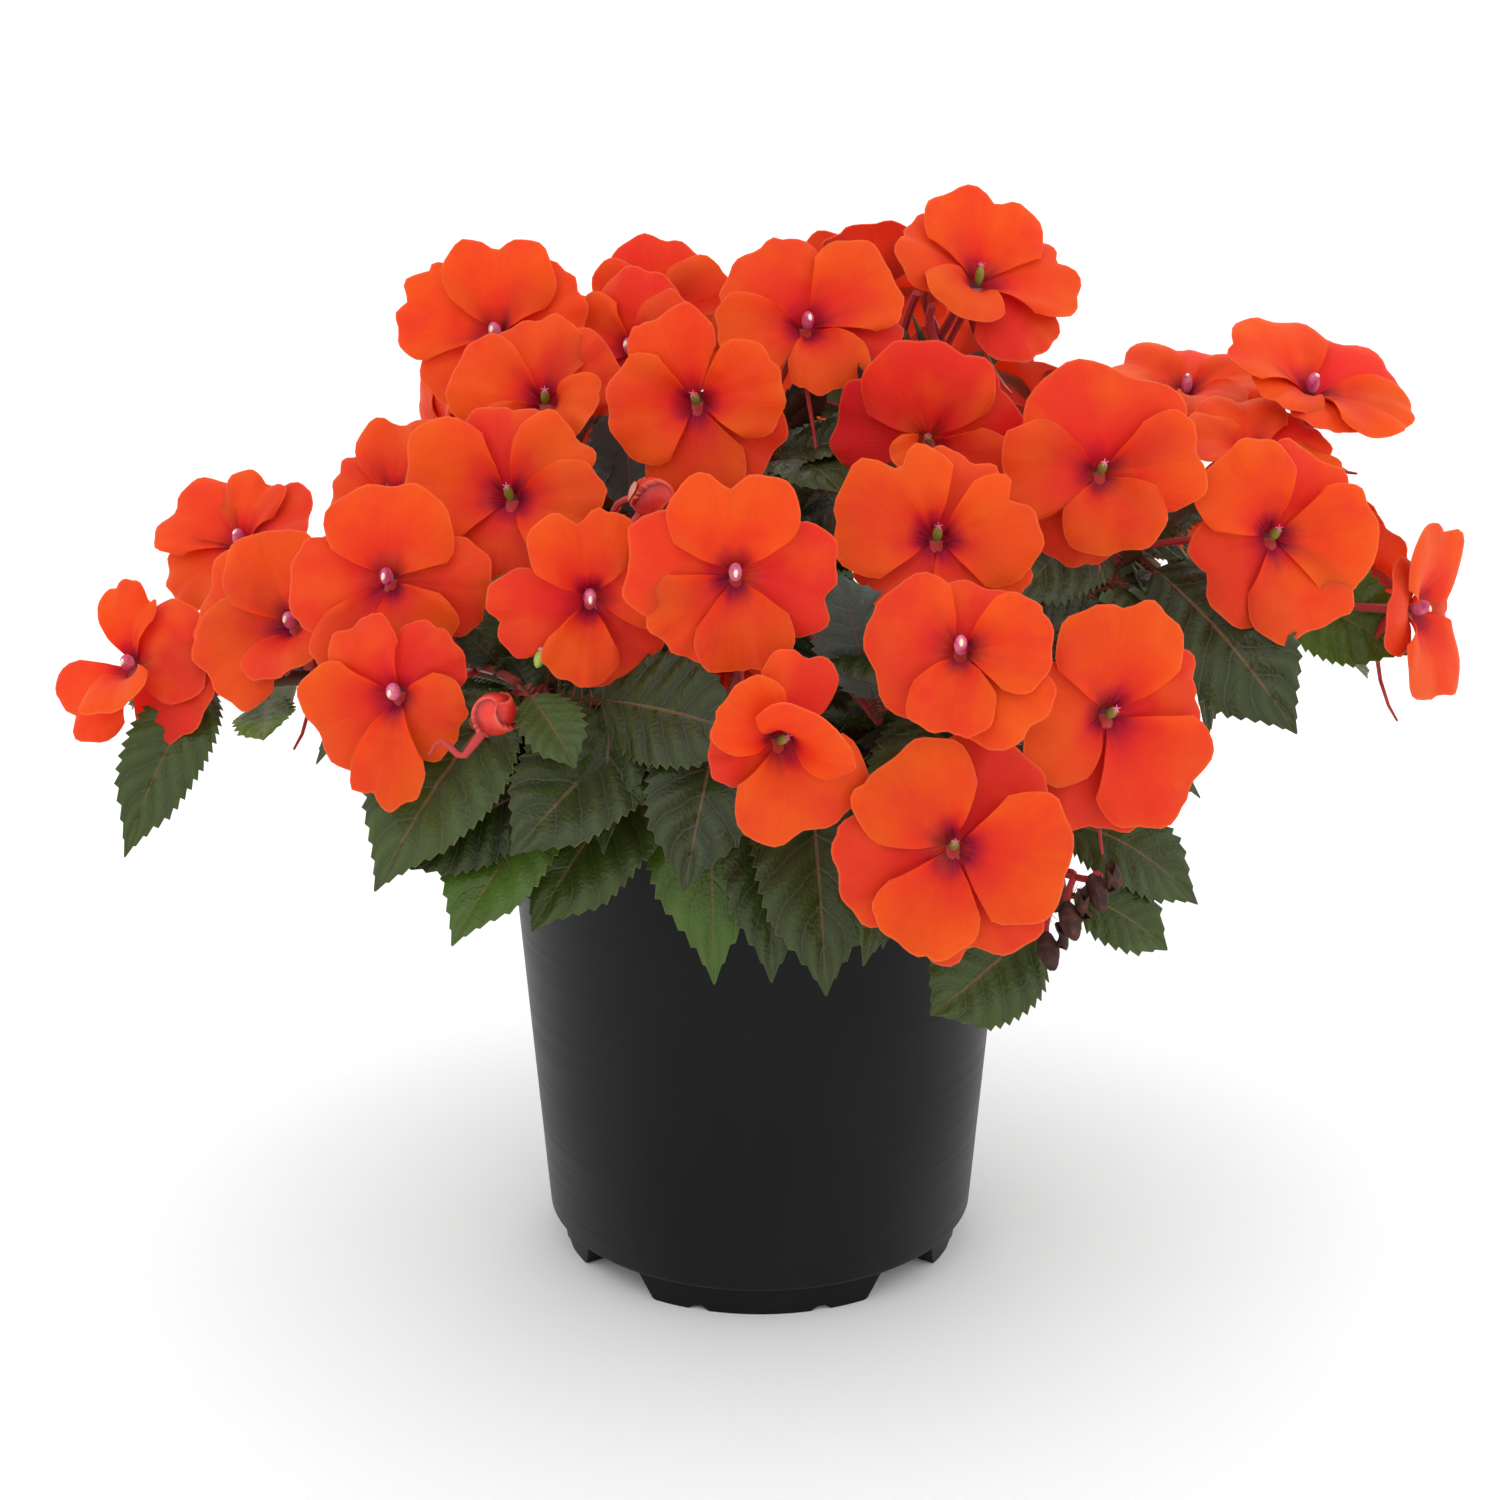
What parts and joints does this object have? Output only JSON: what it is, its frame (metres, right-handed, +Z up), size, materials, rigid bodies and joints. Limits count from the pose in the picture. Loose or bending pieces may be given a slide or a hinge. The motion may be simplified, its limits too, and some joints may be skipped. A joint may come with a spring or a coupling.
{
  "type": "potted new guinea impatiens",
  "caption": "Round nursery pot of potting mix that holds a mounded bedding plant of toothed leaves and broad five-petalled flowers.",
  "frame": {"origin": "on the ground under the pot's axis", "axes": "+Z up along the pot's axis; +X to the right and -Y towards the viewer, as in the picture"},
  "size_m": [0.4076, 0.2871, 0.317],
  "materials": {
    "pot": "satin",
    "potting_mix": "rough, damp and crumbly",
    "leaves": "soft sheen",
    "petals": "velvety"
  },
  "bodies": {
    "root": {"pot": "pot", "potting_mix": "potting_mix", "shoot_left_low": "leaves", "shoot_left_front": "leaves", "shoot_front_left": "leaves", "shoot_upper_left": "leaves", "shoot_top": "leaves", "shoot_front": "leaves", "shoot_upper_right": "leaves", "shoot_front_right": "leaves", "shoot_low_right": "leaves", "shoot_right_front": "leaves", "shoot_right_low": "leaves", "shoot_back_left": "leaves", "shoot_back": "leaves", "shoot_back_right": "leaves", "bloom_01": "petals", "bloom_02": "petals", "bloom_03": "petals", "bloom_04": "petals", "bloom_05": "petals", "bloom_06": "petals", "bloom_07": "petals", "bloom_08": "petals", "bloom_09": "petals", "bloom_10": "petals", "bloom_11": "petals", "bloom_12": "petals", "bloom_13": "petals", "bloom_14": "petals", "bloom_15": "petals", "bloom_16": "petals", "bloom_17": "petals", "bloom_18": "petals", "bloom_19": "petals", "bloom_20": "petals", "bloom_21": "petals", "bloom_22": "petals", "bloom_23": "petals", "bloom_24": "petals", "bloom_25": "petals", "bloom_26": "petals", "bloom_27": "petals", "bloom_28": "petals", "bloom_29": "petals", "bloom_30": "petals", "bloom_31": "petals", "bloom_32": "petals", "bloom_33": "petals", "bloom_34": "petals", "bloom_35": "petals", "bloom_36": "petals", "bloom_37": "petals", "bloom_38": "petals", "bloom_39": "petals", "bloom_40": "petals", "bloom_41": "petals", "bloom_42": "petals", "bloom_43": "petals", "bloom_44": "petals"}
  },
  "joints": []
}
